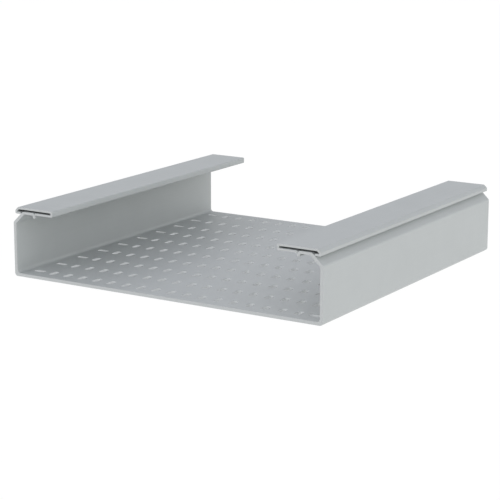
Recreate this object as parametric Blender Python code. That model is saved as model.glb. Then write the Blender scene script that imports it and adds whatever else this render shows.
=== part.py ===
"""Perforated cable tray with a flat C-section rail over each rim.

The tray is one extruded channel: a slotted base, two side walls, and at the top of each wall a
sloping shoulder, a lip that points inwards and a short hook turned down. Each rail is a strip with
both edges folded under, the outer one past a bevel. Its folded edges rest on the shoulder and on
the bend of the hook.

Metres, +Z up. X runs across the tray and Y along it. The origin is the middle of the underside.
"""

import math

import bpy
from mathutils import Vector

MM = 0.001

# The channel
LENGTH = 500 * MM
WIDTH = 500 * MM
LIP_TOP = 94.2 * MM
WALL = 4.7 * MM
SHOULDER_WALL = 4.4 * MM
LIP_WALL = 3.6 * MM
SHOULDER_REACH = 16.8 * MM
SHOULDER_RISE = 16.1 * MM
LIP_REACH = 21.8 * MM
HOOK_DROP = 7.6 * MM
BASE_CORNER_RADIUS = 5.0 * MM
CREASE_RADIUS = 5.0 * MM
SHOULDER_RADIUS = 7.0 * MM
HOOK_BEND_RADIUS = 4.6 * MM
HOOK_EDGE_RADIUS = 0.8 * MM
BASE_FILLET_RADIUS = 4.5 * MM
INNER_FILLET_RADIUS = 2.5 * MM

# The slots in the base
SLOT_LENGTH = 18.0 * MM
SLOT_WIDTH = 8.0 * MM
SLOT_PITCH_ACROSS = 25.0 * MM
SLOT_PITCH_ALONG = 50.0 * MM
SIDE_SLOT_INSET = 25.0 * MM
LEAST_LAND = 8.0 * MM
CUT_OVERRUN = 1.0 * MM

# The rails
RAIL_WIDTH = 64.9 * MM
RAIL_INSET = 3.7 * MM
RAIL_PLY = 3.0 * MM
RAIL_HOLLOW = 2.8 * MM
RAIL_BEVEL = 4.6 * MM
RAIL_BEVEL_RADIUS = 1.5 * MM
RAIL_FOLD_RADIUS = 1.8 * MM
RAIL_CREASE_RADIUS = 0.5 * MM
RAIL_OUTER_DROP = 0.8 * MM
SEAT_GAP = 0.3 * MM

# How finely curves are cut into facets
DEGREES_PER_FACET = 18.0
SHARP_EDGE_MARGIN = 10.0
SLOT_END_FACETS = 4
SAME_POINT = 0.001 * MM

# The material: rigid PVC in light grey
TRAY_COLOUR = (0.56, 0.58, 0.57, 1.0)
RAIL_COLOUR = (0.53, 0.55, 0.56, 1.0)
ROUGHNESS = 0.45


def clear_scene():
    """Empty the scene without closing the file."""
    for item in list(bpy.data.objects):
        bpy.data.objects.remove(item, do_unlink=True)


def make_collection(name):
    """A new collection under the scene's own."""
    collection = bpy.data.collections.new(name)
    bpy.context.scene.collection.children.link(collection)
    return collection


def make_material(name, colour):
    """Plain rigid PVC in one colour."""
    material = bpy.data.materials.new(name)
    material.use_nodes = True
    shader = material.node_tree.nodes["Principled BSDF"]
    shader.inputs["Base Color"].default_value = colour
    shader.inputs["Roughness"].default_value = ROUGHNESS
    shader.inputs["Metallic"].default_value = 0.0
    return material


def left_normal(start, end):
    """The unit vector that points to the left of the way from start to end."""
    way = (end - start).normalized()
    return Vector((-way.y, way.x))


def inner_path(path, walls):
    """The path moved to its left by each stretch's own wall, with the corners where they meet."""
    normals = [left_normal(a, b) for a, b in zip(path, path[1:])]
    moved = [path[0] + normals[0] * walls[0]]
    for i in range(1, len(path) - 1):
        before, after = normals[i - 1], normals[i]
        cross = before.x * after.y - before.y * after.x
        along_before = before.dot(path[i]) + walls[i - 1]
        along_after = after.dot(path[i]) + walls[i]
        moved.append(
            Vector((
                (along_before * after.y - along_after * before.y) / cross,
                (along_after * before.x - along_before * after.x) / cross,
            ))
        )
    moved.append(path[-1] + normals[-1] * walls[-1])
    return moved


def rounded_corner(before, corner, after, radius):
    """The points of an arc of this radius that replaces a corner."""
    to_before = (before - corner).normalized()
    to_after = (after - corner).normalized()
    half = to_before.angle(to_after) / 2
    setback = radius / math.tan(half)
    if setback < SAME_POINT:
        return [corner]
    centre = corner + (to_before + to_after).normalized() * (radius / math.sin(half))
    start = corner + to_before * setback - centre
    turn = to_before.angle_signed(to_after)
    sweep = (math.pi - abs(turn)) * math.copysign(1.0, turn)
    count = max(1, math.ceil(math.degrees(abs(sweep)) / DEGREES_PER_FACET))
    points = []
    for i in range(count + 1):
        angle = sweep * i / count
        points.append(
            centre
            + Vector((
                start.x * math.cos(angle) - start.y * math.sin(angle),
                start.x * math.sin(angle) + start.y * math.cos(angle),
            ))
        )
    return points


def without_doubles(points):
    """The closed outline without points that fall on the one before."""
    kept = []
    for point in points:
        if not kept or (point - kept[-1]).length > SAME_POINT:
            kept.append(point)
    if (kept[0] - kept[-1]).length <= SAME_POINT:
        kept.pop()
    return kept


def rounded_outline(corners, radii):
    """The closed outline through these corners, each rounded by its own radius."""
    points = []
    count = len(corners)
    for i, (corner, radius) in enumerate(zip(corners, radii)):
        points += rounded_corner(corners[i - 1], corner, corners[(i + 1) % count], radius)
    return without_doubles(points)


def walled_outline(path, walls, bends, edge_radius, fillets):
    """The closed section of a wall that follows a path, with its thickness on the path's left.

    bends gives the radius of each inner corner of the path, on the path itself. The wall's other
    face turns about the same centre, but never tighter than that corner's fillet.
    """
    inside = inner_path(path, walls)
    turns = []
    for i in range(1, len(path) - 1):
        way, following = path[i] - path[i - 1], path[i + 1] - path[i]
        left_turn = way.x * following.y - way.y * following.x > 0
        wall = max(walls[i - 1], walls[i])
        other = bends[i - 1] - wall if left_turn else bends[i - 1] + wall
        turns.append(max(other, fillets[i - 1]))
    corners = path + inside[::-1]
    radii = [edge_radius, *bends, edge_radius, edge_radius, *turns[::-1], edge_radius]
    return rounded_outline(corners, radii)


def flat_curve(name, outlines, depth):
    """A 2D curve of closed outlines, filled, and extruded to this depth both ways about its plane."""
    curve = bpy.data.curves.new(name, "CURVE")
    curve.dimensions = "2D"
    curve.fill_mode = "BOTH"
    curve.extrude = depth / 2
    for outline in outlines:
        spline = curve.splines.new("POLY")
        spline.points.add(len(outline) - 1)
        for point, place in zip(spline.points, outline):
            point.co = (place.x, place.y, 0.0, 1.0)
        spline.use_cyclic_u = True
    return bpy.data.objects.new(name, curve)


def as_mesh(item, collection):
    """The curve object made a welded mesh object of the same name, in the same place."""
    name = item.name
    item.name = name + "_outline"
    collection.objects.link(item)
    bpy.context.view_layer.update()
    evaluated = item.evaluated_get(bpy.context.evaluated_depsgraph_get())
    mesh = bpy.data.meshes.new_from_object(evaluated)
    mesh.name = name
    solid = bpy.data.objects.new(name, mesh)
    solid.matrix_world = item.matrix_world.copy()
    collection.objects.link(solid)
    bpy.data.objects.remove(item, do_unlink=True)
    return solid


def weld(solid):
    """Join a filled curve's caps to its sides."""
    modifier = solid.modifiers.new("weld", "WELD")
    modifier.merge_threshold = 2 * SAME_POINT


def extruded_section(name, outline, collection, material):
    """A section in X and Z made a solid of the tray's length."""
    item = flat_curve(name, [outline], LENGTH)
    item.rotation_euler = (math.pi / 2, 0.0, 0.0)
    solid = as_mesh(item, collection)
    solid.data.materials.clear()
    solid.data.materials.append(material)
    weld(solid)
    return solid


def finish(solid):
    """Apply the modifiers, then shade the bends smooth and keep every real edge sharp."""
    bpy.context.view_layer.update()
    evaluated = solid.evaluated_get(bpy.context.evaluated_depsgraph_get())
    mesh = bpy.data.meshes.new_from_object(evaluated)
    solid.modifiers.clear()
    solid.data = mesh
    mesh.name = solid.name
    solid.data.shade_smooth()
    solid.data.set_sharp_from_angle(angle=math.radians(DEGREES_PER_FACET + SHARP_EDGE_MARGIN))


def mirrored(points):
    """The points of the other side, in the order that continues a path from left to right."""
    return [Vector((-point.x, point.y)) for point in reversed(points)]


def rim_path():
    """The outer face of the right half: base corner, crease, shoulder corner, hook bend, hook end."""
    wall_x = WIDTH / 2
    shoulder_x = wall_x - SHOULDER_REACH
    hook_x = shoulder_x - LIP_REACH
    return [
        Vector((wall_x, 0.0)),
        Vector((wall_x, LIP_TOP - SHOULDER_RISE)),
        Vector((shoulder_x, LIP_TOP)),
        Vector((hook_x, LIP_TOP)),
        Vector((hook_x, LIP_TOP - HOOK_DROP)),
    ]


def channel_outline():
    """The whole section of the channel."""
    right = rim_path()
    side_walls = [WALL, SHOULDER_WALL, LIP_WALL, LIP_WALL]
    bends = [BASE_CORNER_RADIUS, CREASE_RADIUS, SHOULDER_RADIUS, HOOK_BEND_RADIUS]
    fillets = [BASE_FILLET_RADIUS] + [INNER_FILLET_RADIUS] * 3
    return walled_outline(
        mirrored(right) + right,
        side_walls[::-1] + [WALL] + side_walls,
        bends[::-1] + bends,
        HOOK_EDGE_RADIUS,
        fillets[::-1] + fillets,
    )


def slot_outline(x, y, angle):
    """A slot with round ends about a point, its length turned by this angle from X."""
    half_run = (SLOT_LENGTH - SLOT_WIDTH) / 2
    points = []
    for end in (0, 1):
        for i in range(SLOT_END_FACETS + 1):
            bearing = -math.pi / 2 + math.pi * (end + i / SLOT_END_FACETS)
            reach = half_run if end == 0 else -half_run
            along = reach + SLOT_WIDTH / 2 * math.cos(bearing)
            across = SLOT_WIDTH / 2 * math.sin(bearing)
            points.append(
                Vector((
                    x + along * math.cos(angle) - across * math.sin(angle),
                    y + along * math.sin(angle) + across * math.cos(angle),
                ))
            )
    return points


def centred_places(count, pitch):
    """The places of a row of this many, centred on zero."""
    return [(i - (count - 1) / 2) * pitch for i in range(count)]


def slot_outlines():
    """Every slot: columns along the tray, and a column of cross slots beside each wall."""
    side_x = WIDTH / 2 - SIDE_SLOT_INSET
    room = side_x - SLOT_LENGTH / 2 - LEAST_LAND - SLOT_WIDTH / 2
    columns = 2 * math.floor(room / SLOT_PITCH_ACROSS) + 1
    rows = math.floor((LENGTH - SLOT_LENGTH) / SLOT_PITCH_ALONG) + 1
    outlines = []
    for y in centred_places(rows, SLOT_PITCH_ALONG):
        outlines += [slot_outline(x, y, 0.0) for x in (-side_x, side_x)]
        outlines += [slot_outline(x, y, math.pi / 2) for x in centred_places(columns, SLOT_PITCH_ACROSS)]
    return outlines


def make_channel(parts, cutters, material):
    """The channel with its slots punched through the base."""
    channel = extruded_section("tray_channel", channel_outline(), parts, material)
    item = flat_curve("slot_cutters", slot_outlines(), WALL + 2 * CUT_OVERRUN)
    item.location.z = WALL / 2
    cutter = as_mesh(item, cutters)
    weld(cutter)
    cutter.hide_render = True
    cutter.display_type = "WIRE"
    punch = channel.modifiers.new("slots", "BOOLEAN")
    punch.operation = "DIFFERENCE"
    punch.solver = "EXACT"
    punch.object = cutter
    finish(channel)


def outer_tip_x(bottom):
    """Where the centre of the outer folded edge's round tip lies, so that it rests on the shoulder."""
    crease, corner = rim_path()[1:3]
    normal = -left_normal(crease, corner)
    tip_radius = RAIL_PLY / 2
    height = bottom + tip_radius - crease.y
    return crease.x + (tip_radius + SEAT_GAP - normal.y * height) / normal.x


def inner_tip_x():
    """Where the centre of the inner folded edge's round tip lies, so that it rests on the hook's bend."""
    tip_radius = RAIL_PLY / 2
    reach = HOOK_BEND_RADIUS + tip_radius + SEAT_GAP
    drop = HOOK_BEND_RADIUS - tip_radius
    return rim_path()[3].x + HOOK_BEND_RADIUS - math.sqrt(reach**2 - drop**2)


def rail_outline():
    """The section of the right rail, from its outer tip over the top to its inner tip."""
    tip_radius = RAIL_PLY / 2
    top = LIP_TOP + RAIL_HOLLOW + RAIL_PLY
    inner_bottom = LIP_TOP - RAIL_PLY
    outer_bottom = inner_bottom - RAIL_OUTER_DROP
    outer = WIDTH / 2 - RAIL_INSET
    inner = outer - RAIL_WIDTH
    path = [
        Vector((outer_tip_x(outer_bottom) - tip_radius, outer_bottom)),
        Vector((outer, outer_bottom)),
        Vector((outer, top - RAIL_BEVEL)),
        Vector((outer - RAIL_BEVEL, top)),
        Vector((inner, top)),
        Vector((inner, inner_bottom)),
        Vector((inner_tip_x() + tip_radius, inner_bottom)),
    ]
    walls = [RAIL_PLY] * (len(path) - 1)
    bends = [RAIL_FOLD_RADIUS] + [RAIL_BEVEL_RADIUS] * 2 + [RAIL_FOLD_RADIUS] * 2
    return walled_outline(path, walls, bends, tip_radius, [RAIL_CREASE_RADIUS] * len(bends))


def make_rails(parts, material):
    """The two rails, the left one a mirror image of the right."""
    right = rail_outline()
    for name, outline in (("right_rail", right), ("left_rail", mirrored(right))):
        finish(extruded_section(name, outline, parts, material))


def main():
    """Build the tray and its rails."""
    clear_scene()
    parts = make_collection("perforated_cable_tray")
    cutters = make_collection("cutters")
    make_channel(parts, cutters, make_material("tray_pvc", TRAY_COLOUR))
    make_rails(parts, make_material("rail_pvc", RAIL_COLOUR))


main()
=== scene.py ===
"""Finish, light and camera for the perforated cable tray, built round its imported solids.

The tray is one extruded channel of light grey rigid PVC with punched base slots, and a rail of the
same plastic lies over each rim. Each piece is built again here with finer bends and with broken
edges, and wears three finishes: the skin that left the die, the sawn ends and the punched slot
walls. Metres, +Z up, X across the tray and Y along it.
"""

import logging
import math
from collections.abc import Sequence
from dataclasses import dataclass, field
from enum import Enum, IntEnum

import bmesh
import bpy
from mathutils import Matrix, Vector

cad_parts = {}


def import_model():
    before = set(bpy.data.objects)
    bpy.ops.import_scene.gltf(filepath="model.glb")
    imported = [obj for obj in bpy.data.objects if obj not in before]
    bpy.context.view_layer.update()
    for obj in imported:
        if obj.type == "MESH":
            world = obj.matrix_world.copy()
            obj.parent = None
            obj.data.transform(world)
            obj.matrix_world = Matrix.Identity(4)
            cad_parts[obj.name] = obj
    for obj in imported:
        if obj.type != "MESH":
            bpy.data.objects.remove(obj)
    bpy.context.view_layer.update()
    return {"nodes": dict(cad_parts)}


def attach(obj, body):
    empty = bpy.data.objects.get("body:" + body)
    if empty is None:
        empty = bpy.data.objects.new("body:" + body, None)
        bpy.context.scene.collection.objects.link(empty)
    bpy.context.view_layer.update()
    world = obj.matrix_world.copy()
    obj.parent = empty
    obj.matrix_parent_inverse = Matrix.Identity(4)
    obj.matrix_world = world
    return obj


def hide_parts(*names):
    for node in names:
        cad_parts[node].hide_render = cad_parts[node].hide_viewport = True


MM = 0.001
# Points of an outline that are closer than this are one point.
SAME_POINT = 0.001 * MM
# A noise texture's values lie between these two, but for a few.
NOISE_SPAN = (0.3, 0.7)
# A wave texture at scale 1 repeats once in this length.
WAVE_PERIOD = math.pi / 10
BODY = "root"
LOG = logging.getLogger("cable_tray")


class Face(IntEnum):
    """The kinds of surface on a piece, each the number of its material slot."""

    SKIN = 0
    SAWN = 1
    PUNCHED = 2


class Side(Enum):
    """The rim that a rail lies on, as its node's name begins."""

    LEFT = "left"
    RIGHT = "right"


def linear(hex_colour: str) -> tuple[float, float, float, float]:
    """Turn an sRGB hex colour into the linear colour that shaders take.

    Args:
        hex_colour: Such as "#B9BDBC".

    Returns:
        Red, green, blue and an alpha of 1.
    """
    channels = []
    for start in (1, 3, 5):
        value = int(hex_colour[start : start + 2], 16) / 255
        channels.append(value / 12.92 if value <= 0.04045 else ((value + 0.055) / 1.055) ** 2.4)
    return (*channels, 1.0)


def add_node(
    tree: bpy.types.NodeTree,
    kind: str,
    inputs: dict[str | int, object] | None = None,
    **options: object,
) -> bpy.types.Node:
    """Add a node, set its own options, and fill or feed its inputs.

    Args:
        tree: The tree that gets the node.
        kind: The node's type, such as "ShaderNodeTexNoise".
        inputs: Values, or other nodes' outputs, by the input's name or place.
        **options: The node's own settings.

    Returns:
        The new node.
    """
    node = tree.nodes.new(kind)
    for option, value in options.items():
        setattr(node, option, value)
    for socket, value in (inputs or {}).items():
        if isinstance(value, bpy.types.NodeSocket):
            tree.links.new(value, node.inputs[socket])
        else:
            node.inputs[socket].default_value = value
    return node


def new_material(name: str) -> tuple[bpy.types.Material, bpy.types.NodeTree]:
    """Make a material whose tree is still empty.

    Args:
        name: The material's name.

    Returns:
        The material and its node tree.
    """
    material = bpy.data.materials.new(name)
    material.use_nodes = True
    material.node_tree.nodes.clear()
    return material, material.node_tree


@dataclass(frozen=True)
class ExtrudedPvc:
    """Rigid PVC, extruded: an even satin skin, drawn through the die along the tray's length.

    The eye gets a soft broad highlight, very faint lines along the length where the die dragged,
    and a skin that isn't quite flat, because the hot section cools unevenly. The die lines are
    about 0.3 mm apart on the real thing. They are drawn coarser here, so that they show at all.

    Attributes:
        name: The material's name.
        light: The paler end of its colour, as sRGB hex.
        shade: The darker end.
        ior: Refractive index of rigid PVC.
        roughness: The least and the most of it across the die lines.
        die_line: How far apart the die lines are.
        die_run: How far one runs before it fades.
        die_relief: Their depth.
        cloud: Size of the faint patches of tone.
        tone_span: Where lines and patches together turn from shade to light.
        ripple: Width of the skin's slow waves.
        ripple_relief: Their depth.
    """

    name: str
    light: str
    shade: str
    ior: float = 1.53
    roughness: tuple[float, float] = (0.42, 0.52)
    die_line: float = 3.0 * MM
    die_run: float = 700.0 * MM
    die_relief: float = 0.004 * MM
    cloud: float = 45.0 * MM
    tone_span: tuple[float, float] = (0.7, 1.3)
    ripple: float = 24.0 * MM
    ripple_relief: float = 0.05 * MM

    def material(self) -> bpy.types.Material:
        """Build the skin's material.

        Returns:
            The material.
        """
        material, tree = new_material(self.name)
        place = add_node(tree, "ShaderNodeTexCoord").outputs["Object"]
        across = 1 / self.die_line
        drawn = add_node(
            tree, "ShaderNodeMapping", {"Vector": place, "Scale": (across, 1 / self.die_run, across)}
        )
        lines = add_node(
            tree, "ShaderNodeTexNoise",
            {"Vector": drawn.outputs["Vector"], "Scale": 1.0, "Detail": 3.0, "Roughness": 0.6},
        )
        clouds = add_node(
            tree, "ShaderNodeTexNoise",
            {"Vector": place, "Scale": 1 / self.cloud, "Detail": 2.0, "Roughness": 0.5},
        )
        both = add_node(
            tree, "ShaderNodeMath",
            {0: lines.outputs["Fac"], 1: clouds.outputs["Fac"]}, operation="ADD",
        )
        tone = add_node(
            tree, "ShaderNodeMapRange",
            {
                "Value": both.outputs[0],
                "From Min": self.tone_span[0], "From Max": self.tone_span[1],
            },
        )
        colour = add_node(
            tree, "ShaderNodeMix",
            {"Factor": tone.outputs["Result"], 6: linear(self.shade), 7: linear(self.light)},
            data_type="RGBA",
        )
        gloss = add_node(
            tree, "ShaderNodeMapRange",
            {
                "Value": lines.outputs["Fac"],
                "From Min": NOISE_SPAN[0], "From Max": NOISE_SPAN[1],
                "To Min": self.roughness[0], "To Max": self.roughness[1],
            },
        )
        ripples = add_node(
            tree, "ShaderNodeTexNoise",
            {"Vector": place, "Scale": 1 / self.ripple, "Detail": 1.0, "Roughness": 0.4},
        )
        wavy = add_node(
            tree, "ShaderNodeBump",
            {"Height": ripples.outputs["Fac"], "Distance": self.ripple_relief, "Strength": 1.0},
        )
        dragged = add_node(
            tree, "ShaderNodeBump",
            {
                "Height": lines.outputs["Fac"], "Distance": self.die_relief, "Strength": 1.0,
                "Normal": wavy.outputs["Normal"],
            },
        )
        shader = add_node(
            tree, "ShaderNodeBsdfPrincipled",
            {
                "Base Color": colour.outputs[2], "Roughness": gloss.outputs["Result"],
                "IOR": self.ior, "Metallic": 0.0, "Normal": dragged.outputs["Normal"],
            },
        )
        add_node(tree, "ShaderNodeOutputMaterial", {"Surface": shader.outputs["BSDF"]})
        return material


@dataclass(frozen=True)
class SawnPvc:
    """Rigid PVC, cut square by a circular saw: dull, a little paler, with the blade's shallow arcs.

    The eye gets a matt end face beside the satin skin. The blade leaves an arc for each tooth, about
    0.4 mm apart, and a powdery grain of about 0.1 mm. Both are drawn coarser here, so that they show.

    Attributes:
        name: The material's name.
        light: The paler end of its colour, as sRGB hex.
        shade: The darker end.
        ior: Refractive index of rigid PVC.
        roughness: Rougher than the skin.
        mark: How far apart the arcs are.
        blade_radius: The blade's radius. Its middle was just that far under the tray.
        relief: Depth of the arcs.
        wander: How unevenly they run.
        dust: Size of the powdery grain.
        tone_span: Where the grain turns from shade to light.
    """

    name: str
    light: str
    shade: str
    ior: float = 1.53
    roughness: float = 0.62
    mark: float = 1.6 * MM
    blade_radius: float = 175.0 * MM
    relief: float = 0.02 * MM
    wander: float = 1.5
    dust: float = 1.1 * MM
    tone_span: tuple[float, float] = (0.35, 0.65)

    def material(self) -> bpy.types.Material:
        """Build the end face's material.

        Returns:
            The material.
        """
        material, tree = new_material(self.name)
        place = add_node(tree, "ShaderNodeTexCoord").outputs["Object"]
        below = add_node(
            tree, "ShaderNodeMapping",
            {"Vector": place, "Location": (0.0, 0.0, self.blade_radius), "Scale": (1.0, 0.0, 1.0)},
        )
        arcs = add_node(
            tree, "ShaderNodeTexWave",
            {
                "Vector": below.outputs["Vector"], "Scale": WAVE_PERIOD / self.mark,
                "Distortion": self.wander, "Detail": 2.0, "Detail Scale": 1.0,
            },
            wave_type="RINGS", rings_direction="Y",
        )
        powder = add_node(
            tree, "ShaderNodeTexNoise",
            {"Vector": place, "Scale": 1 / self.dust, "Detail": 3.0, "Roughness": 0.7},
        )
        tone = add_node(
            tree, "ShaderNodeMapRange",
            {
                "Value": powder.outputs["Fac"],
                "From Min": self.tone_span[0], "From Max": self.tone_span[1],
            },
        )
        colour = add_node(
            tree, "ShaderNodeMix",
            {"Factor": tone.outputs["Result"], 6: linear(self.shade), 7: linear(self.light)},
            data_type="RGBA",
        )
        cut = add_node(
            tree, "ShaderNodeBump",
            {"Height": arcs.outputs["Fac"], "Distance": self.relief, "Strength": 1.0},
        )
        shader = add_node(
            tree, "ShaderNodeBsdfPrincipled",
            {
                "Base Color": colour.outputs[2], "Roughness": self.roughness, "IOR": self.ior,
                "Metallic": 0.0, "Normal": cut.outputs["Normal"],
            },
        )
        add_node(tree, "ShaderNodeOutputMaterial", {"Surface": shader.outputs["BSDF"]})
        return material


@dataclass(frozen=True)
class PunchedPvc:
    """Rigid PVC, punched: a smooth band where the punch sheared, then a torn one.

    The eye gets slot walls that are pale and satin near the top and dull below, with upright drag
    lines all round. The lower band's darker colour is painted shade, for the dimmer light deeper in
    the slot. The drag lines are about 0.2 mm apart on the real thing, and drawn coarser here, so that
    they show.

    Attributes:
        name: The material's name.
        wall: Thickness of the plastic.
        sheared: Colour of the smooth band, as sRGB hex.
        torn_painted_shade: Colour of the lower, rougher band, darker than the smooth one as painted shade
            deeper in the slot.
        ior: Refractive index of rigid PVC.
        roughness: Of the smooth band and of the torn one.
        sheared_share: How much of the wall is smooth.
        ragged_share: How far the border between both wanders, as a share of the wall.
        drag_line: How far apart the drag lines are.
        drag_run: How far one runs before it fades.
        relief: Their depth.
    """

    name: str
    wall: float
    sheared: str
    torn_painted_shade: str
    ior: float = 1.53
    roughness: tuple[float, float] = (0.4, 0.68)
    sheared_share: float = 0.4
    ragged_share: float = 0.3
    drag_line: float = 0.9 * MM
    drag_run: float = 30.0 * MM
    relief: float = 0.03 * MM

    def material(self) -> bpy.types.Material:
        """Build the slot walls' material.

        Returns:
            The material.
        """
        material, tree = new_material(self.name)
        place = add_node(tree, "ShaderNodeTexCoord").outputs["Object"]
        height = add_node(tree, "ShaderNodeSeparateXYZ", {"Vector": place})
        across = 1 / self.drag_line
        drawn = add_node(
            tree, "ShaderNodeMapping", {"Vector": place, "Scale": (across, across, 1 / self.drag_run)}
        )
        lines = add_node(
            tree, "ShaderNodeTexNoise",
            {"Vector": drawn.outputs["Vector"], "Scale": 1.0, "Detail": 3.0, "Roughness": 0.6},
        )
        border = self.wall * (1 - self.sheared_share)
        ragged = self.wall * self.ragged_share
        uneven = add_node(
            tree, "ShaderNodeMath",
            {0: lines.outputs["Fac"], 1: ragged, 2: height.outputs["Z"]}, operation="MULTIPLY_ADD",
        )
        band = add_node(
            tree, "ShaderNodeMapRange",
            {
                "Value": uneven.outputs[0], "From Min": border, "From Max": border + ragged,
                "To Min": 1.0, "To Max": 0.0,
            },
        )
        # The lower band's colour is darker than the upper one's: painted shade for the dimmer light
        # deeper in the slot.
        colour = add_node(
            tree, "ShaderNodeMix",
            {"Factor": band.outputs["Result"], 6: linear(self.sheared), 7: linear(self.torn_painted_shade)},
            data_type="RGBA",
        )
        gloss = add_node(
            tree, "ShaderNodeMapRange",
            {"Value": band.outputs["Result"], "To Min": self.roughness[0], "To Max": self.roughness[1]},
        )
        dragged = add_node(
            tree, "ShaderNodeBump",
            {"Height": lines.outputs["Fac"], "Distance": self.relief, "Strength": 1.0},
        )
        shader = add_node(
            tree, "ShaderNodeBsdfPrincipled",
            {
                "Base Color": colour.outputs[2], "Roughness": gloss.outputs["Result"],
                "IOR": self.ior, "Metallic": 0.0, "Normal": dragged.outputs["Normal"],
            },
        )
        add_node(tree, "ShaderNodeOutputMaterial", {"Surface": shader.outputs["BSDF"]})
        return material


def left_normal(start: Vector, end: Vector) -> Vector:
    """Give the unit vector that points to the left of the way from start to end.

    Args:
        start: Where the way starts.
        end: Where it ends.

    Returns:
        The unit vector.
    """
    way = (end - start).normalized()
    return Vector((-way.y, way.x))


def mirrored(points: Sequence[Vector]) -> list[Vector]:
    """Give the points of the other side, in the order that goes on from left to right."""
    return [Vector((-point.x, point.y)) for point in reversed(points)]


@dataclass
class BentWall:
    """A wall of even stretches that follows a bent path in the section plane, X and Z.

    Attributes:
        path: Corners of the face that the sizes are given for, with the wall on the left.
        walls: Thickness of each stretch.
        bends: Radius of each inner corner of the path, on the path itself.
        edge_radius: Radius of the corners at the wall's two ends.
        fillets: The tightest turn of the wall's other face at each bend.
        facet: How much of an arc one facet takes, in degrees.
    """

    path: list[Vector]
    walls: list[float]
    bends: list[float]
    edge_radius: float
    fillets: list[float]
    facet: float = 6.0

    def other_path(self) -> list[Vector]:
        """Find the corners of the wall's other face.

        Returns:
            The corners, in the path's order.
        """
        normals = [left_normal(a, b) for a, b in zip(self.path, self.path[1:])]
        moved = [self.path[0] + normals[0] * self.walls[0]]
        for i in range(1, len(self.path) - 1):
            before, after = normals[i - 1], normals[i]
            cross = before.x * after.y - before.y * after.x
            along_before = before.dot(self.path[i]) + self.walls[i - 1]
            along_after = after.dot(self.path[i]) + self.walls[i]
            x = (along_before * after.y - along_after * before.y) / cross
            z = (along_after * before.x - along_before * after.x) / cross
            moved.append(Vector((x, z)))
        moved.append(self.path[-1] + normals[-1] * self.walls[-1])
        return moved

    def other_bends(self) -> list[float]:
        """Find the other face's radius at each bend.

        Returns:
            One radius for each inner corner.
        """
        turns = []
        for i in range(1, len(self.path) - 1):
            way, following = self.path[i] - self.path[i - 1], self.path[i + 1] - self.path[i]
            wall = max(self.walls[i - 1], self.walls[i])
            turns_left = way.x * following.y - way.y * following.x > 0
            radius = self.bends[i - 1] - wall if turns_left else self.bends[i - 1] + wall
            turns.append(max(radius, self.fillets[i - 1]))
        return turns

    def arc(self, before: Vector, corner: Vector, after: Vector, radius: float) -> list[Vector]:
        """Round one corner.

        Args:
            before: The corner before it.
            corner: The corner itself.
            after: The corner after it.
            radius: The arc's radius.

        Returns:
            The arc's points.
        """
        to_before = (before - corner).normalized()
        to_after = (after - corner).normalized()
        half = to_before.angle(to_after) / 2
        centre = corner + (to_before + to_after).normalized() * (radius / math.sin(half))
        start = corner + to_before * (radius / math.tan(half)) - centre
        turn = to_before.angle_signed(to_after)
        span = (math.pi - abs(turn)) * math.copysign(1.0, turn)
        count = max(2, math.ceil(math.degrees(abs(span)) / self.facet))
        points = []
        for i in range(count + 1):
            angle = span * i / count
            x = start.x * math.cos(angle) - start.y * math.sin(angle)
            z = start.x * math.sin(angle) + start.y * math.cos(angle)
            points.append(centre + Vector((x, z)))
        return points

    def outline(self) -> list[Vector]:
        """Draw the closed section.

        Returns:
            Its points, each apart from the next.
        """
        corners = self.path + self.other_path()[::-1]
        edge = self.edge_radius
        radii = [edge, *self.bends, edge, edge, *self.other_bends()[::-1], edge]
        points: list[Vector] = []
        for i, (corner, radius) in enumerate(zip(corners, radii)):
            for point in self.arc(corners[i - 1], corner, corners[(i + 1) % len(corners)], radius):
                if not points or (point - points[-1]).length > SAME_POINT:
                    points.append(point)
        if (points[0] - points[-1]).length <= SAME_POINT:
            points.pop()
        return points


def shrunk(outline: Sequence[Vector], inset: float) -> list[Vector]:
    """Move a closed outline inwards.

    Args:
        outline: The outline's points.
        inset: How far each edge moves.

    Returns:
        As many points, in the same order.
    """
    area = sum(a.x * b.y - a.y * b.x for a, b in zip(outline, [*outline[1:], outline[0]]))
    side = math.copysign(inset, area)
    moved = []
    for i, point in enumerate(outline):
        before = left_normal(outline[i - 1], point)
        after = left_normal(point, outline[(i + 1) % len(outline)])
        between = (before + after).normalized()
        moved.append(point + between * (side / between.dot(before)))
    return moved


@dataclass(frozen=True)
class RoundedBreak:
    """A sharp edge taken off in a few steps, as a file or a punch leaves it.

    Attributes:
        size: How far the break reaches along each face.
        steps: How many facets make it.
    """

    size: float
    steps: int = 3

    def profile(self) -> list[tuple[float, float]]:
        """Give the break's points as depth under the flat face and inset from the side face.

        Returns:
            Pairs from the flat face to the side face.
        """
        points = []
        for i in range(self.steps + 1):
            angle = math.pi / 2 * i / self.steps
            points.append((self.size * (1 - math.cos(angle)), self.size * (1 - math.sin(angle))))
        return points


# What a quick pass with a file takes off round a sawn end.
FILED_END = RoundedBreak(size=0.3 * MM, steps=2)


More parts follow.
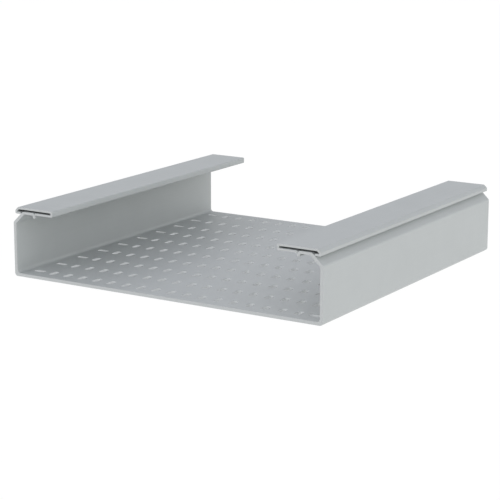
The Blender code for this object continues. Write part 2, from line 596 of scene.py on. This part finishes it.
def sweep(outline: Sequence[Vector], length: float, end_break: RoundedBreak) -> bmesh.types.BMesh:
    """Run a section along Y, with both sawn ends' edges broken.

    Args:
        outline: The section's points in X and Z.
        length: The piece's length, half to each side of the origin.
        end_break: The break at each end's edge.

    Returns:
        The closed mesh, with its ends marked as sawn.
    """
    mesh = bmesh.new()
    rings = []
    profile = end_break.profile()
    stations = [(-length / 2 + depth, inset) for depth, inset in profile]
    stations += [(length / 2 - depth, inset) for depth, inset in reversed(profile)]
    for y, inset in stations:
        rings.append([mesh.verts.new((p.x, y, p.y)) for p in shrunk(outline, inset)])
    middle = len(profile) - 1
    for place, (ring, following) in enumerate(zip(rings, rings[1:])):
        kind = Face.SKIN if place == middle else Face.SAWN
        for i in range(len(ring)):
            j = (i + 1) % len(ring)
            mesh.faces.new((ring[i], ring[j], following[j], following[i])).material_index = kind
    for ring in (rings[0], rings[-1]):
        mesh.faces.new(ring).material_index = Face.SAWN
    bmesh.ops.recalc_face_normals(mesh, faces=mesh.faces)
    return mesh


def new_object(
    name: str,
    mesh: bmesh.types.BMesh,
    finishes: Sequence[bpy.types.Material],
) -> bpy.types.Object:
    """Turn a mesh being built into an object of the scene.

    Args:
        name: The object's name.
        mesh: The mesh, which is freed.
        finishes: The materials, in the order of Face.

    Returns:
        The object.
    """
    data = bpy.data.meshes.new(name)
    mesh.to_mesh(data)
    mesh.free()
    for finish in finishes:
        data.materials.append(finish)
    item = bpy.data.objects.new(name, data)
    bpy.context.scene.collection.objects.link(item)
    return item


def smooth_bends(
    item: bpy.types.Object,
    sharp_degrees: float = 32.0,
    flat_weight: int = 100,
) -> None:
    """Shade the bends smooth and the flats flat.

    Args:
        item: The piece.
        sharp_degrees: An edge that turns more than this stays sharp.
        flat_weight: How much a large face outweighs a small one beside it, up to 100.
    """
    item.data.shade_smooth()
    item.data.set_sharp_from_angle(angle=math.radians(sharp_degrees))
    flats = item.modifiers.new("flats_stay_flat", "WEIGHTED_NORMAL")
    flats.weight = flat_weight
    flats.keep_sharp = True


@dataclass
class SlotPattern:
    """The slots punched through the base, row by row.

    Attributes:
        length: A slot's length over its round ends.
        width: A slot's width.
        across: Pitch of the columns.
        along: Pitch of the rows.
        side_inset: From a side wall's outer face to the middle of the cross slots beside it.
        least_land: Least plastic between a cross slot and the first column.
        rolled: The rounding that the punch leaves at the top.
        breakout: The small break at the bottom.
        overshoot: How far the punch reaches past both faces of the base.
        end_facets: Facets of each round end.
    """

    length: float = 18.0 * MM
    width: float = 8.0 * MM
    across: float = 25.0 * MM
    along: float = 50.0 * MM
    side_inset: float = 25.0 * MM
    least_land: float = 8.0 * MM
    rolled: RoundedBreak = RoundedBreak(size=0.2 * MM)
    breakout: float = 0.2 * MM
    overshoot: float = 1.0 * MM
    end_facets: int = 8

    def places(self, tray_width: float, tray_length: float) -> list[tuple[float, float, bool]]:
        """Lay the slots out.

        Args:
            tray_width: The tray's width over its walls.
            tray_length: The tray's length.

        Returns:
            Each slot's X and Y, and whether it lies across the tray.
        """
        side = tray_width / 2 - self.side_inset
        room = side - self.length / 2 - self.least_land - self.width / 2
        columns = 2 * math.floor(room / self.across) + 1
        rows = math.floor((tray_length - self.length) / self.along) + 1
        places = []
        for row in range(rows):
            y = (row - (rows - 1) / 2) * self.along
            places += [(-side, y, True), (side, y, True)]
            places += [((c - (columns - 1) / 2) * self.across, y, False) for c in range(columns)]
        return places

    def ring(self, x: float, y: float, crosswise: bool, grown: float) -> list[Vector]:
        """Draw one slot's outline.

        Args:
            x: The slot's middle in X.
            y: The slot's middle in Y.
            crosswise: True where its length lies along X.
            grown: How far the outline lies outside the slot's wall.

        Returns:
            The outline's points in X and Y.
        """
        reach = (self.length - self.width) / 2
        points = []
        for end in (1.0, -1.0):
            for i in range(self.end_facets + 1):
                bearing = math.pi * (i / self.end_facets - 0.5)
                radius = self.width / 2 + grown
                along = end * (reach + radius * math.cos(bearing))
                aside = end * radius * math.sin(bearing)
                points.append(Vector((x + along, y + aside) if crosswise else (x - aside, y + along)))
        return points

    def punch(self, places: Sequence[tuple[float, float, bool]], wall: float) -> bmesh.types.BMesh:
        """Build the punch: one closed body a slot, flared where the edges are rolled and broken.

        Args:
            places: The slots, as places() gives them.
            wall: The base's thickness.

        Returns:
            The mesh, with the walls marked as punched.
        """
        rolled = self.rolled.profile()
        (depth, inset), (next_depth, next_inset) = rolled[0], rolled[1]
        # Each level is a height, how far the punch is wider there, and the finish of the band above
        # it. The outermost steps run on past the base's faces, which then cut them at their rims.
        levels = [
            (wall + self.overshoot, 2 * inset - next_inset, Face.SKIN),
            (wall - 2 * depth + next_depth, 2 * inset - next_inset, Face.SKIN),
        ]
        levels += [(wall - depth, inset, Face.SKIN) for depth, inset in rolled[1:]]
        levels += [
            (self.breakout, 0.0, Face.PUNCHED),
            (-self.breakout, 2 * self.breakout, Face.PUNCHED),
            (-self.overshoot, 2 * self.breakout, Face.PUNCHED),
        ]
        mesh = bmesh.new()
        for x, y, crosswise in places:
            rings = []
            for z, grown, _ in levels:
                outline = self.ring(x, y, crosswise, grown)
                rings.append([mesh.verts.new((p.x, p.y, z)) for p in outline])
            for (_, _, kind), upper, lower in zip(levels[1:], rings, rings[1:]):
                for i in range(len(upper)):
                    j = (i + 1) % len(upper)
                    mesh.faces.new((upper[i], upper[j], lower[j], lower[i])).material_index = kind
            mesh.faces.new(rings[0])
            mesh.faces.new(rings[-1])
        bmesh.ops.recalc_face_normals(mesh, faces=mesh.faces)
        return mesh


@dataclass
class TrayChannel:
    """The one-piece channel: slotted base, side walls, shoulders, lips and small hooks.

    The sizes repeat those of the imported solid. Only the facets are finer and the edges broken.

    Attributes:
        finishes: The materials, in the order of Face.
        length: Along Y.
        width: Over the side walls.
        lip_top: Height of the lips' upper faces.
        wall: Thickness of the base and the side walls.
        shoulder_wall: Thickness of the sloping shoulders.
        lip_wall: Thickness of the lips and hooks.
        shoulder_reach: How far a shoulder leans in.
        shoulder_rise: How far it rises.
        lip_reach: From the shoulder's top in to the hook's face.
        hook_drop: From the lip's upper face down to the hook's end.
        base_corner_radius: Outer radius of the base's corners.
        crease_radius: Outer radius where a side wall turns into its shoulder.
        shoulder_radius: Outer radius where the shoulder turns into its lip.
        hook_bend_radius: Outer radius where the lip turns down.
        hook_edge_radius: Radius of the hook's two edges.
        base_fillet_radius: Tightest inner radius of the base's corners.
        inner_fillet_radius: Tightest inner radius of the other bends.
        slots: The slots in the base.
        end_break: The break round the sawn ends.
    """

    finishes: Sequence[bpy.types.Material]
    length: float = 500.0 * MM
    width: float = 500.0 * MM
    lip_top: float = 94.2 * MM
    wall: float = 4.7 * MM
    shoulder_wall: float = 4.4 * MM
    lip_wall: float = 3.6 * MM
    shoulder_reach: float = 16.8 * MM
    shoulder_rise: float = 16.1 * MM
    lip_reach: float = 21.8 * MM
    hook_drop: float = 7.6 * MM
    base_corner_radius: float = 5.0 * MM
    crease_radius: float = 5.0 * MM
    shoulder_radius: float = 7.0 * MM
    hook_bend_radius: float = 4.6 * MM
    hook_edge_radius: float = 0.8 * MM
    base_fillet_radius: float = 4.5 * MM
    inner_fillet_radius: float = 2.5 * MM
    slots: SlotPattern = field(default_factory=SlotPattern)
    end_break: RoundedBreak = FILED_END

    def rim_path(self) -> list[Vector]:
        """Trace the right half's outer face, from the base corner to the hook's end.

        Returns:
            Its corners in X and Z.
        """
        wall_x = self.width / 2
        shoulder_x = wall_x - self.shoulder_reach
        hook_x = shoulder_x - self.lip_reach
        return [
            Vector((wall_x, 0.0)),
            Vector((wall_x, self.lip_top - self.shoulder_rise)),
            Vector((shoulder_x, self.lip_top)),
            Vector((hook_x, self.lip_top)),
            Vector((hook_x, self.lip_top - self.hook_drop)),
        ]

    def section(self) -> BentWall:
        """Describe the whole section, from the left hook round to the right one.

        Returns:
            The bent wall.
        """
        right = self.rim_path()
        walls = [self.wall, self.shoulder_wall, self.lip_wall, self.lip_wall]
        bends = [self.base_corner_radius, self.crease_radius, self.shoulder_radius, self.hook_bend_radius]
        fillets = [self.base_fillet_radius] + [self.inner_fillet_radius] * (len(bends) - 1)
        return BentWall(
            path=mirrored(right) + right,
            walls=walls[::-1] + [self.wall] + walls,
            bends=bends[::-1] + bends,
            edge_radius=self.hook_edge_radius,
            fillets=fillets[::-1] + fillets,
        )

    def build(self) -> bpy.types.Object:
        """Extrude the section, punch the slots and put the piece on its body.

        Returns:
            The channel's object.
        """
        extrusion = sweep(self.section().outline(), self.length, self.end_break)
        blank = new_object("extruded_channel", extrusion, self.finishes)
        places = self.slots.places(self.width, self.length)
        punch = new_object("slot_punch", self.slots.punch(places, self.wall), self.finishes)
        cut = blank.modifiers.new("slots", "BOOLEAN")
        cut.operation = "DIFFERENCE"
        cut.solver = "EXACT"
        cut.object = punch
        bpy.context.view_layer.update()
        evaluated = blank.evaluated_get(bpy.context.evaluated_depsgraph_get())
        data = bpy.data.meshes.new_from_object(evaluated)
        blank.modifiers.clear()
        blank.data = data
        bpy.data.objects.remove(punch, do_unlink=True)
        smooth_bends(blank)
        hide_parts("tray_channel")
        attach(blank, BODY)
        LOG.info("%s: %d slots, %d faces", blank.name, len(places), len(data.polygons))
        return blank


@dataclass
class RimRail:
    """A flat strip with both edges folded under, the outer one past a bevel, over one rim.

    Its outer folded edge rests on the sloping shoulder and its inner one on the bend of the hook.

    Attributes:
        side: The rim it lies on.
        channel: The channel that carries it.
        finishes: The materials, in the order of Face.
        width: Over both folded edges.
        inset: From the channel's side wall in to the rail's outer face.
        ply: Its thickness.
        hollow: Height of the air between its top and the lip.
        bevel: How much of the top's outer edge the bevel takes off, each way.
        bevel_radius: Radius of the bevel's two corners.
        fold_radius: Outer radius of the folds.
        crease_radius: Tightest inner radius of any bend.
        outer_drop: How much lower the outer edge is folded than the inner one.
        seat_gap: The air between each edge's tip and the channel.
        end_break: The break round the sawn ends.
    """

    side: Side
    channel: TrayChannel
    finishes: Sequence[bpy.types.Material]
    width: float = 64.9 * MM
    inset: float = 3.7 * MM
    ply: float = 3.0 * MM
    hollow: float = 2.8 * MM
    bevel: float = 4.6 * MM
    bevel_radius: float = 1.5 * MM
    fold_radius: float = 1.8 * MM
    crease_radius: float = 0.5 * MM
    outer_drop: float = 0.8 * MM
    seat_gap: float = 0.3 * MM
    end_break: RoundedBreak = FILED_END

    def outer_tip_x(self, bottom: float) -> float:
        """Find the middle of the outer edge's round tip, clear of the shoulder by the seat gap.

        Args:
            bottom: Height of the outer edge's underside.

        Returns:
            The middle's X.
        """
        crease, corner = self.channel.rim_path()[1:3]
        normal = -left_normal(crease, corner)
        height = bottom + self.ply / 2 - crease.y
        return crease.x + (self.ply / 2 + self.seat_gap - normal.y * height) / normal.x

    def inner_tip_x(self) -> float:
        """Find the middle of the inner edge's round tip, clear of the hook's bend by the seat gap.

        Returns:
            The middle's X.
        """
        bend = self.channel.hook_bend_radius
        reach = bend + self.ply / 2 + self.seat_gap
        drop = bend - self.ply / 2
        return self.channel.rim_path()[3].x + bend - math.sqrt(reach**2 - drop**2)

    def section(self) -> BentWall:
        """Describe the right rail's section, from its outer tip over the top to its inner tip.

        Returns:
            The bent wall.
        """
        tip = self.ply / 2
        top = self.channel.lip_top + self.hollow + self.ply
        inner_bottom = self.channel.lip_top - self.ply
        outer_bottom = inner_bottom - self.outer_drop
        outer = self.channel.width / 2 - self.inset
        inner = outer - self.width
        bends = [self.fold_radius] + [self.bevel_radius] * 2 + [self.fold_radius] * 2
        return BentWall(
            path=[
                Vector((self.outer_tip_x(outer_bottom) - tip, outer_bottom)),
                Vector((outer, outer_bottom)),
                Vector((outer, top - self.bevel)),
                Vector((outer - self.bevel, top)),
                Vector((inner, top)),
                Vector((inner, inner_bottom)),
                Vector((self.inner_tip_x() + tip, inner_bottom)),
            ],
            walls=[self.ply] * (len(bends) + 1),
            bends=bends,
            edge_radius=tip,
            fillets=[self.crease_radius] * len(bends),
        )

    def build(self) -> bpy.types.Object:
        """Extrude the section and put the piece on its body.

        Returns:
            The rail's object.
        """
        outline = self.section().outline()
        if self.side is Side.LEFT:
            outline = mirrored(outline)
        node = f"{self.side.value}_rail"
        strip = sweep(outline, self.channel.length, self.end_break)
        rail = new_object(f"{node}_strip", strip, self.finishes)
        smooth_bends(rail)
        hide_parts(node)
        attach(rail, BODY)
        LOG.info("%s: %d faces", rail.name, len(rail.data.polygons))
        return rail


@dataclass(frozen=True)
class SkyBand:
    """The dome's light at one height.

    Attributes:
        sine: The height, as the sine of the angle above level.
        level: The mean radiance all round.
        tint: Its colour.
        lean: How much more comes from +X and from +Y than the mean.
    """

    sine: float
    level: float
    tint: tuple[float, float, float]
    lean: tuple[float, float] = (0.0, 0.0)

    def colour(self) -> tuple[float, float, float, float]:
        """Give the tint with an alpha of 1."""
        return (*self.tint, 1.0)

    def strength(self, tree: bpy.types.NodeTree, axes: bpy.types.Node) -> bpy.types.NodeSocket:
        """Add the nodes that work out the band's radiance for any direction.

        Args:
            tree: The world's tree.
            axes: The node that splits the direction into X, Y and Z.

        Returns:
            The radiance.
        """
        light = self.level
        for axis, lean in zip("XY", self.lean):
            light = add_node(
                tree, "ShaderNodeMath",
                {0: axes.outputs[axis], 1: lean, 2: light}, operation="MULTIPLY_ADD",
            ).outputs[0]
        return light


@dataclass(frozen=True)
class Studio:
    """A white light table under a pale dome, which leaves no shadow and a plain white ground.

    Attributes:
        low: The light that comes in nearly level.
        middle: The light from half-way up.
        zenith: The light from overhead.
        table_glow: Radiance of the table itself.
        table_shade: What it gives back of the light that falls on it, as sRGB hex.
        table_size: Its width and depth.
        table_drop: How far it lies under the tray, so that the two faces stay apart.
    """

    low: SkyBand = SkyBand(sine=0.17, level=0.89, tint=(0.99, 1.0, 0.97), lean=(0.70, 0.20))
    middle: SkyBand = SkyBand(sine=0.57, level=1.23, tint=(0.99, 1.0, 1.06), lean=(-0.58, -0.64))
    zenith: SkyBand = SkyBand(sine=0.9, level=0.55, tint=(0.99, 1.0, 1.07))
    table_glow: float = 0.99
    table_shade: str = "#272727"
    table_size: float = 14.0
    table_drop: float = 0.2 * MM

    def table(self) -> bpy.types.Object:
        """Lay the table just under the tray.

        Returns:
            The table's object.
        """
        mesh = bmesh.new()
        bmesh.ops.create_grid(mesh, x_segments=1, y_segments=1, size=self.table_size / 2)
        bmesh.ops.translate(mesh, verts=mesh.verts, vec=(0.0, 0.0, -self.table_drop))
        material, tree = new_material("opal_acrylic_light_table")
        shader = add_node(
            tree, "ShaderNodeBsdfPrincipled",
            {
                "Base Color": linear(self.table_shade), "Roughness": 0.9, "Specular IOR Level": 0.0,
                "Emission Color": linear("#FFFFFF"), "Emission Strength": self.table_glow,
            },
        )
        add_node(tree, "ShaderNodeOutputMaterial", {"Surface": shader.outputs["BSDF"]})
        table = new_object("light_table", mesh, [material])
        return table

    def dome(self) -> None:
        """Light the scene from all round, neutral from the side and cooler from above."""
        world = bpy.data.worlds.new("soft_dome")
        world.use_nodes = True
        tree = world.node_tree
        tree.nodes.clear()
        way = add_node(tree, "ShaderNodeTexCoord").outputs["Generated"]
        axes = add_node(tree, "ShaderNodeSeparateXYZ", {"Vector": way})
        strength = self.low.strength(tree, axes)
        colour = self.low.colour()
        for below, band in ((self.low, self.middle), (self.middle, self.zenith)):
            rise = add_node(
                tree, "ShaderNodeMapRange",
                {"Value": axes.outputs["Z"], "From Min": below.sine, "From Max": band.sine},
            ).outputs["Result"]
            strength = add_node(
                tree, "ShaderNodeMix",
                {"Factor": rise, 2: strength, 3: band.strength(tree, axes)},
            ).outputs[0]
            colour = add_node(
                tree, "ShaderNodeMix",
                {"Factor": rise, 6: colour, 7: band.colour()}, data_type="RGBA",
            ).outputs[2]
        glow = add_node(tree, "ShaderNodeBackground", {"Color": colour, "Strength": strength})
        add_node(tree, "ShaderNodeOutputWorld", {"Surface": glow.outputs["Background"]})
        bpy.context.scene.world = world

    def build(self) -> None:
        """Set up the table and the dome, and show tones as they are."""
        self.table()
        self.dome()
        bpy.context.scene.view_settings.view_transform = "Standard"
        LOG.info("studio: table %.0f m wide under a dome of three bands", self.table_size)


@dataclass(frozen=True)
class PhotoCamera:
    """The camera where the photo's edges put it, low in front of the tray's right corner.

    Attributes:
        focal_mm: Focal length.
        sensor_mm: The sensor's width.
        pitch: How far it looks down, in degrees.
        yaw: How far it looks to the left of +Y, in degrees.
        roll: Its tilt about its own axis, in degrees.
        place: Where it stands.
    """

    focal_mm: float = 127.683
    sensor_mm: float = 36.0
    pitch: float = 13.187
    yaw: float = 31.874
    roll: float = 0.101
    place: tuple[float, float, float] = (1.31709, -2.1414, 0.60799)

    def build(self) -> bpy.types.Object:
        """Make the camera the scene's own.

        Returns:
            The camera's object.
        """
        data = bpy.data.cameras.new("photo_camera")
        data.lens = self.focal_mm
        data.sensor_width = self.sensor_mm
        camera = bpy.data.objects.new("photo_camera", data)
        # An unturned camera looks straight down, so it takes 90 degrees to bring it level.
        turn = Matrix.Rotation(math.radians(self.yaw), 4, "Z")
        turn @= Matrix.Rotation(math.radians(90.0 - self.pitch), 4, "X")
        turn @= Matrix.Rotation(math.radians(self.roll), 4, "Z")
        camera.matrix_world = Matrix.Translation(self.place) @ turn
        bpy.context.scene.collection.objects.link(camera)
        bpy.context.scene.camera = camera
        LOG.info("camera: %.1f mm, %.1f degrees down", self.focal_mm, self.pitch)
        return camera


def main() -> None:
    """Load the frame, then build the camera, the pieces and the studio in order."""
    logging.basicConfig(level=logging.INFO, format="%(name)s: %(message)s")
    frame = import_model()
    LOG.info("frame: %s", ", ".join(sorted(frame["nodes"])))
    PhotoCamera().build()
    skin = ExtrudedPvc("extruded_light_grey_pvc", light="#B4B8B8", shade="#B0B4B4").material()
    rail_skin = ExtrudedPvc(
        "extruded_light_grey_pvc_rail", light="#B3B7B7", shade="#AFB3B3"
    ).material()
    sawn = SawnPvc("sawn_light_grey_pvc", light="#BABDBD", shade="#B4B7B7").material()
    # The punched walls are darker in their lower band as painted shade deeper in the slots.
    punched = PunchedPvc(
        "punched_light_grey_pvc", wall=TrayChannel.wall, sheared="#CACDCD", torn_painted_shade="#BFC2C2"
    ).material()
    channel = TrayChannel([skin, sawn, punched])
    channel.build()
    for side in Side:
        RimRail(side, channel, [rail_skin, sawn]).build()
    Studio().build()


if __name__ == "__main__":
    main()
